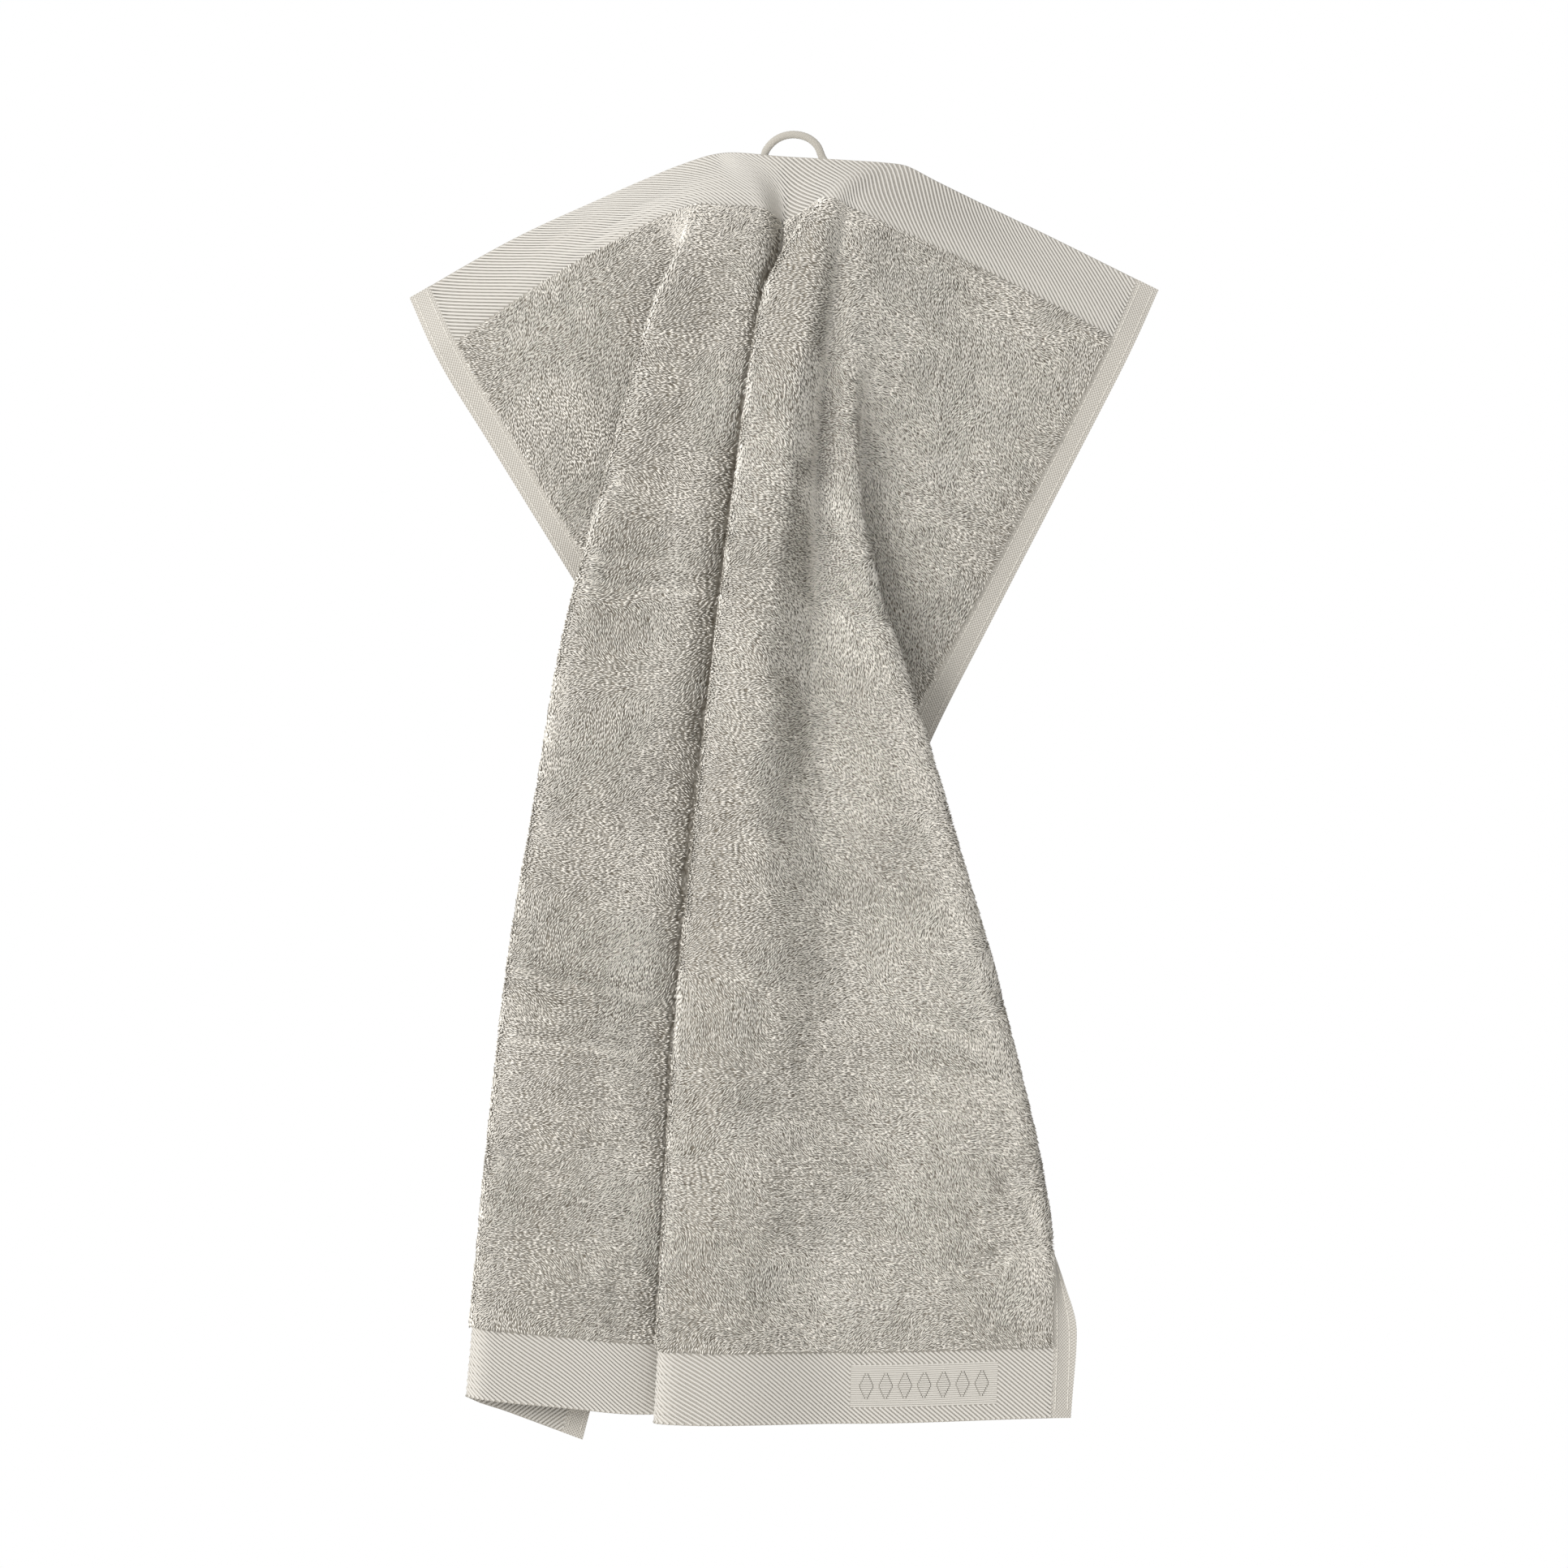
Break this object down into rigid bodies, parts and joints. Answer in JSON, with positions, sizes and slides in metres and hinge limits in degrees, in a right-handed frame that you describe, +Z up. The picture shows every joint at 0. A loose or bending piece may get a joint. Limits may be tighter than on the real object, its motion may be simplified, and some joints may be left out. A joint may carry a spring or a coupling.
{
  "type": "hanging hand towel",
  "caption": "Rectangular terry hand towel with flat woven borders, hung in soft folds from a small tape loop at the middle of its top hem.",
  "frame": {"origin": "inside top of the hanging loop, where a hook bears", "axes": "+Z up along the hang, -Y out of the front of the towel, +X to the right seen from the front"},
  "size_m": [0.3552, 0.0505, 0.6199],
  "materials": {
    "terry_cloth": "warm grey looped cotton pile with twill borders",
    "loop_tape": "greige woven cotton tape"
  },
  "bodies": {
    "root": {"towel": "terry_cloth", "hanging_loop": "loop_tape"}
  },
  "joints": []
}
